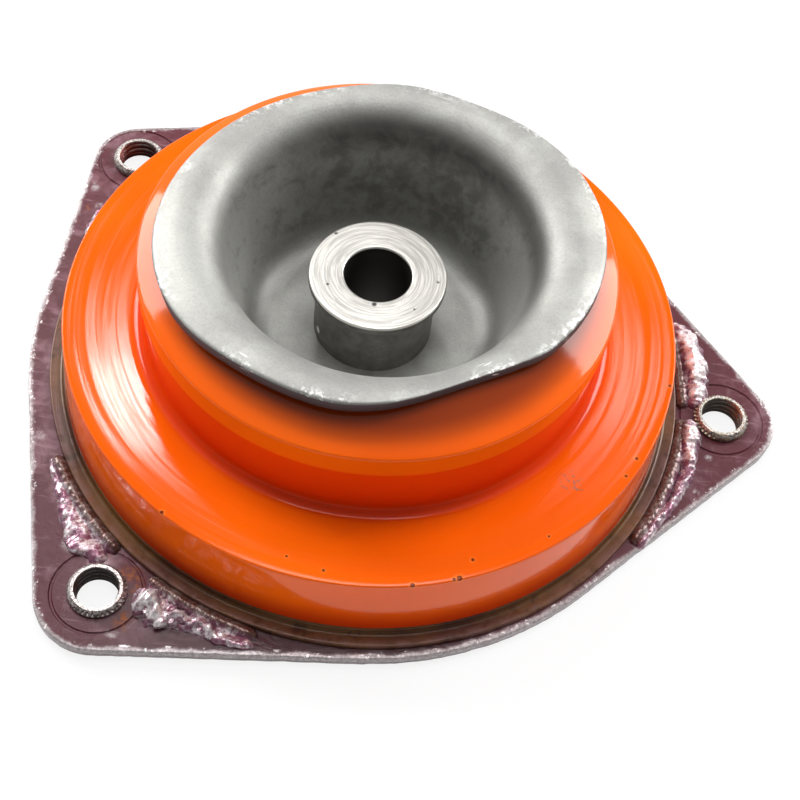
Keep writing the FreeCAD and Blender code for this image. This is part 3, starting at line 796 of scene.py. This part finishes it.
welds = {
    "base": 2.6, "fillet": 70.3, "filletWidth": 1.7, "filletHeight": 1.9, "filletCrumple": 0.12,
    "across": 22, "step": 0.3, "fewest": 24, "taper": 1.8, "tip": 0.03, "rippleRate": 4.2,
    # lumps of two sizes and the weld pool's ripple: share of the bead's size, then size in mm
    "lumps": (0.6, 3.2), "pimples": (0.45, 1.4), "ripple": 0.03,
    # the pale colour is bare metal with painted highlight; the dark brown is painted shade by the housing's
    # foot
    "mauve": "#85566a", "silverAndGlint": "#f3edee", "crack": "#5a3747", "footShade": "#4f331f",
    # each run: how crumpled it is, then azimuth, radius, half width and height along it
    "runs": [
        (0.55, [(20, 71.6, 1.6, 2.0), (17, 73.2, 2.4, 2.7), (12, 73.8, 2.7, 3.2),
                (7.6, 73.8, 2.6, 3.1), (3.6, 73.9, 2.2, 2.6), (1.2, 73.6, 1.6, 1.8)]),
        (0.5, [(358.6, 71.9, 1.5, 2.2), (355.4, 72.3, 2.5, 3.3), (351.6, 73.0, 1.9, 2.7),
               (347, 73.7, 1.5, 2.2), (341.5, 73.0, 1.3, 1.9), (336, 72.0, 1.2, 1.8),
               (330, 71.6, 1.0, 1.4)]),
        (0.9, [(239.2, 74.2, 2.2, 2.4), (241.5, 74.6, 3.2, 3.3), (244.4, 75.2, 3.2, 3.1),
               (247.5, 74.2, 2.4, 2.9), (251, 73.2, 1.8, 2.4), (255, 73.0, 1.5, 2.0),
               (260, 72.6, 1.1, 1.4)]),
        (0.5, [(210, 71.2, 1.0, 0.8), (216, 72.0, 1.6, 1.1), (222, 73.2, 2.6, 1.3),
               (227, 74.4, 3.0, 1.5), (232, 73.6, 2.0, 1.1)]),
        (0.7, [(128, 72.4, 1.5, 1.7), (132, 74.6, 2.0, 2.4), (135.6, 74.8, 1.8, 2.0),
               (138, 73.6, 1.2, 1.4)]),
        (0.7, [(146, 73.2, 1.4, 1.6), (150, 73.6, 2.0, 2.3), (154.5, 73.4, 1.9, 2.1),
               (161, 72.2, 1.3, 1.5)]),
    ],
}


def alongRun(stations, share):
    # the station's values, eased from one to the next
    at = share * (len(stations) - 1)
    i = min(int(at), len(stations) - 2)
    part = at - i
    before, after = stations[max(i - 1, 0)], stations[min(i + 2, len(stations) - 1)]
    values = []
    for a, b, c, d in zip(before, stations[i], stations[i + 1], after):
        curve = 2 * a - 5 * b + 4 * c - d + part * (3 * (b - c) + d - a)
        values.append(b + 0.5 * part * (c - a + part * curve))
    return values


def unwound(stations):
    # azimuths as one falling or rising run, without a jump at 360
    first = stations[0][0]
    return [((a - first + 180) % 360 - 180 + first, *rest) for a, *rest in stations]


def beadLoops(stations, crumple, sunk):
    stations = unwound(stations)
    length = sum(math.dist(atAzimuth(*a[:2]), atAzimuth(*b[:2])) for a, b in zip(stations, stations[1:]))
    count, across, loops = max(welds["fewest"], round(length / welds["step"])), welds["across"], []
    lumpShare, lumpSize = welds["lumps"]
    pimpleShare, pimpleSize = welds["pimples"]
    for i in range(count + 1):
        share = i / count
        azimuth, radius, width, height = alongRun(stations, share)
        ends = min(share, 1 - share) * length
        short = 1 - min(1.0, ends / width / welds["taper"])
        fade = max(welds["tip"], math.sqrt(max(0.0, 1 - short ** 2)))
        loop = []
        for j in range(across):
            turn = math.tau * j / across
            out, up = math.cos(turn) * width * fade, math.sin(turn) * height * fade
            x, y, z = atAzimuth(azimuth, radius + out, sunk + max(0.0, up))
            lump = lumpShare * wander(x, y, z, lumpSize) + pimpleShare * wander(y, z, x, pimpleSize)
            phase = ends * welds["rippleRate"] + 1.4 * math.cos(turn) ** 2
            ripple = math.cos(phase + 2 * wander(x, y, 0, 5))
            swell = 1 + (crumple * lump + welds["ripple"] * ripple) * fade
            loop.append(atAzimuth(azimuth, radius + out * swell, sunk + max(0.0, up) * swell))
        loops.append(loop)
    return loops


def buildWelds():
    grids = []
    for crumple, stations in welds["runs"]:
        grids.append(beadLoops(stations, crumple, welds["base"]))
        fillet = [(a, welds["fillet"], welds["filletWidth"], welds["filletHeight"]) for a, *_ in stations]
        grids.append(beadLoops(fillet, welds["filletCrumple"], welds["base"]))
    return gridMesh("weldRuns", grids, 50, wrap=False)


def weldFinish():
    g = Graph("weldMetal")
    radius, height = g.polar()[:2]
    lump = g.grain(2.6, 4, 0.65, 0.5)
    fine = g.grain(0.8, 3, 0.7)
    # bare silver metal on the lumps, with painted highlight: more of it towards the beads' tops
    silverAndGlint = g.smooth(lump * 0.65 + fine * 0.35 + g.smooth(height, 4.2, 6.0) * 0.12, 0.44, 0.66)
    colour = g.mix(silverAndGlint, shade(welds["mauve"]), shade(welds["silverAndGlint"]))
    colour = g.mix(g.smooth(lump, 0.34, 0.22) * 0.6, colour, shade(welds["crack"]))
    # painted shade: dark brown on the fillet and the beads' inner sides next to the housing's foot
    inner = g.smooth(radius, 71.8, 70.6)
    colour = g.mix(inner * 0.85, colour, shade(welds["footShade"]))
    bump = g.bump(lump, 0.22)
    bump = g.bump(fine, 0.03, bump)
    rough = 0.14 + 0.14 * fine
    return g.finish(baseColor=colour, roughness=rough, metallic=0.35, normal=bump)


# Threaded bushes: a serrated collar on top and a screw thread in the bore

bush = {
    "bore": 4.25, "shank": 5.2, "collar": 6.0, "top": 4.8, "bevel": 0.8, "mouth": 0.35, "columns": 432,
    "pitch": 1.5, "threadDepth": 0.62, "teeth": 36, "toothDepth": 0.7, "toothHeight": 1.0,
    "toothScatter": 0.12, "toothDrop": 0.12, "wornShare": 0.85,
    "shadow": "#6f6764", "bright": "#efe9e4", "rusty": "#8a4f22",
    # per bush: azimuth of the worn-smooth side, how wide it is, and the finish's tints
    "rear": {"worn": 150, "spread": 150, "tint": "#9d9490", "inside": "#4a1f1c", "rust": 0.25},
    "front": {"worn": 180, "spread": 70, "tint": "#a79ea0", "inside": "#4d4542", "rust": 0.35},
    "side": {"worn": 300, "spread": 60, "tint": "#a89c84", "inside": "#5c5450", "rust": 0.5},
}


def buildBush(name):
    own, centre, top = bush[name], earCentre(name), bush["top"]
    bore, shank, collar, bevel, mouth = (bush[key] for key in ("bore", "shank", "collar", "bevel", "mouth"))
    base = plate["thick"]
    outline = [(bore, z * 0.1) for z in range(round((top - mouth) * 10) + 1)]
    outline += [(bore + mouth, top), (shank - 0.25, top), (shank, top)]
    outline += [(shank + bevel * k / 5, top - bevel * k / 5) for k in range(1, 5)]
    outline += [(collar, top - bevel), (collar, top - bevel - 0.1), (collar, top - bush["toothHeight"]),
                (collar, top - bush["toothHeight"] - 0.15), (collar, base), (shank, base), (shank, 0.0)]
    seed = plate["ears"][name][0]

    def shape(angle, radius, height):
        tooth = angle * bush["teeth"] / math.tau
        index = math.floor(tooth)
        if radius <= bore and 0.05 < height:
            turn = (height / bush["pitch"] + angle / math.tau) % 1
            radius += bush["threadDepth"] * eased(abs(turn - 0.5), 0.5, 0.1) * eased(height, 0.0, 0.4)
        elif radius > shank - 0.1 and height > top - bush["toothHeight"] - 0.05:
            worn = (math.degrees(angle) - own["worn"] + 180) % 360 - 180
            smooth = 1 - bush["wornShare"] * eased(abs(worn), own["spread"], own["spread"] * 0.5)
            # each tooth has its own depth and its own place in its share of the ring
            deep, aside = wander(index * 1.7, seed, 3, 1), wander(index * 2.3, 5, seed, 1)
            share = tooth - index + bush["toothScatter"] * aside
            notch = bush["toothDepth"] * (1 - abs(2 * share - 1)) * (0.95 + 0.5 * deep) * smooth
            radius = min(radius, max(shank - 0.15, collar - notch))
            if height > top - 0.05:
                height -= bush["toothDrop"] * max(0.0, deep)
        return radius, height

    return turned(name + "ThreadedBush", outline, bush["columns"], 24, shape, centre)


def bushFinish(name):
    own = bush[name]
    g = Graph(name + "BushSteel")
    radius, height = g.polar(earCentre(name))[:2]
    blotch = g.grain(1.4, 4, 0.7)
    fine = g.grain(0.4, 2, 0.6)
    colour = g.mix(g.smooth(blotch, 0.35, 0.65), shade(own["tint"]), shade(bush["shadow"]))
    high = g.smooth(height, 3.9, 4.5) * g.smooth(fine, 0.4, 0.6)
    colour = g.mix(high * 0.8, colour, shade(bush["bright"]))
    colour = g.mix(g.smooth(radius, 4.95, 4.5) * g.smooth(height, 4.7, 4.3), colour, shade(own["inside"]))
    rust = g.smooth(g.grain(1.1, 3, 0.7), 0.5, 0.62) * own["rust"] * g.smooth(radius, 4.8, 5.3)
    colour = g.mix(rust, colour, shade(bush["rusty"]))
    bump = g.bump(blotch, 0.12)
    return g.finish(baseColor=colour, roughness=0.28 + 0.15 * fine, metallic=0.85 - 0.5 * rust, normal=bump)


# Lower washer, in the underside of the casting

washer = {"inner": 12.5, "outer": 27.0, "low": 0.8, "top": 3.3, "edge": 0.3, "columns": 180,
          "light": "#8f8d89", "dark": "#6b6864"}


def buildWasher():
    inner, outer, low, top = (washer[key] for key in ("inner", "outer", "low", "top"))
    outline = roundedRun([(inner, low), (outer, low, washer["edge"]), (outer, top), (inner, top)], 1.5)
    return turned("lowerWasherPiece", outline, washer["columns"], 35)


def washerFinish():
    g = Graph("washerSteel")
    radius, height, dirX, dirY = g.polar()
    blotch = g.grain(6, 4, 0.6)
    turning = g.grain(1, 2, 0.6, 0, g.rings(radius, height, dirX, dirY, 40, 0.5))
    colour = g.mix(g.smooth(blotch, 0.35, 0.65), shade(washer["light"]), shade(washer["dark"]))
    return g.finish(baseColor=colour, roughness=0.38 + 0.2 * blotch, metallic=0.85,
                    normal=g.bump(turning, 0.03))


# Floor, lamps and camera

light = {
    # for each lamp: direction to it, distance, size and watts
    "lamps": {
        "shoulderGlint": ((-0.19, 0.52, 0.83), 1.3, 0.09, 1.5),
        "sideGlint": ((0.15, 0.57, 0.80), 1.3, 0.1, 0.3),
        "leftWindow": ((-0.7, 0.5, 0.55), 1.4, 0.6, 15.0),
        "rightWindow": ((0.68, 0.52, 0.55), 1.4, 0.6, 14.0),
        "topSoft": ((0.0, 0.15, 1.0), 1.4, 0.5, 6.5),
    },
    "floorSize": 60.0, "floorDrop": 0.0004, "floorShade": 0.92, "floorGlow": 0.85,
    # the air's brightness rises from the front towards this axis
    "airAxis": (0.0, 0.75, 0.66), "airSpan": (0.0, 0.95), "airDark": 0.2, "airBright": 0.9,
    # a dark card behind the object keeps the glare off its flat faces
    "cardAxis": (0.0, 0.53, 0.848), "cardSpan": (0.9, 0.965), "cardShare": 0.85,
}


def buildStage():
    bpy.ops.mesh.primitive_plane_add(size=light["floorSize"], location=(0, 0, -light["floorDrop"]))
    floor = bpy.context.object
    floor.name = "paleFloor"
    g = Graph("palePaper")
    tone = light["floorShade"]
    paper = g.add("ShaderNodeBsdfDiffuse", None, {"Color": (tone, tone, tone, 1)})
    glow = g.add("ShaderNodeEmission", None, {"Color": (1, 1, 1, 1), "Strength": 1.0})
    seen = 0.0
    for kind in ("Is Camera Ray", "Is Glossy Ray", "Is Transmission Ray"):
        seen = seen + g.add("ShaderNodeLightPath", out=kind)
    lifted = g.add("ShaderNodeMixShader", None, [seen * light["floorGlow"], paper, glow])
    g.add("ShaderNodeOutputMaterial", None, [lifted])
    floor.data.materials.append(g.material)


def addLamp(name, towards, distance, size, watts):
    data = bpy.data.lights.new(name, "AREA")
    data.shape, data.size, data.energy = "SQUARE", size, watts
    lamp = bpy.data.objects.new(name, data)
    bpy.context.scene.collection.objects.link(lamp)
    way = Vector(towards).normalized()
    lamp.location = way * distance
    lamp.rotation_euler = way.to_track_quat("Z", "Y").to_euler()


def buildLight():
    for name, settings in light["lamps"].items():
        addLamp(name, *settings)
    g = Graph("studioAir", "worlds")
    bright = g.smooth(g.facing(light["airAxis"]), *light["airSpan"], light["airDark"], light["airBright"])
    card = g.smooth(g.facing(light["cardAxis"]), *light["cardSpan"], 0.0, light["cardShare"])
    air = g.add("ShaderNodeBackground", None, {"Strength": bright * (1 - card)})
    g.add("ShaderNodeOutputWorld", None, [air])
    bpy.context.scene.world = g.material


view = {
    # place in metres, tilts in degrees, focal length in pixels of the photo's frame
    "place": (0.00837, -0.21143, 0.29693), "down": 55.294, "roll": 8.734, "focal": 1635.4, "pixels": 800,
    "sensor": 36.0, "nearest": 0.01, "farthest": 20.0,
}


def buildCamera():
    down, roll = math.radians(view["down"]), math.radians(view["roll"])
    ahead = Vector((0, math.cos(down), -math.sin(down)))
    level = Vector((0, math.sin(down), math.cos(down)))
    right = Vector((1, 0, 0)) * math.cos(roll) + level * math.sin(roll)
    up = right.cross(ahead)
    data = bpy.data.cameras.new("camera")
    data.sensor_width = view["sensor"]
    data.lens = view["focal"] / view["pixels"] * view["sensor"]
    data.clip_start, data.clip_end = view["nearest"], view["farthest"]
    camera = bpy.data.objects.new("camera", data)
    bpy.context.scene.collection.objects.link(camera)
    camera.location = view["place"]
    camera.rotation_mode = "QUATERNION"
    camera.rotation_quaternion = Matrix((right, up, -ahead)).transposed().to_quaternion()
    bpy.context.scene.camera = camera


buildCamera()
buildLight()
buildStage()
dress(buildCup(), cupFinish(), "blasted_steel", "top_cup")
dress(buildBody(), bodyFinish(), "orange_polyurethane", "polyurethane_body")
dress(buildSleeve(), sleeveFinish(), "machined_steel", "centre_sleeve")
dress(buildPlate(), plateFinish(), "plate_lacquer", "mounting_plate")
dress(buildHousing(), housingFinish(), "housing_lacquer", "housing_ring")
dress(buildWelds(), weldFinish(), "weld_metal", "weld_beads")
for name in plate["ears"]:
    dress(buildBush(name), bushFinish(name), "bush_steel", name + "_threaded_bush")
dress(buildWasher(), washerFinish(), "washer_steel", "lower_washer")

bpy.context.scene.view_settings.view_transform = "Standard"
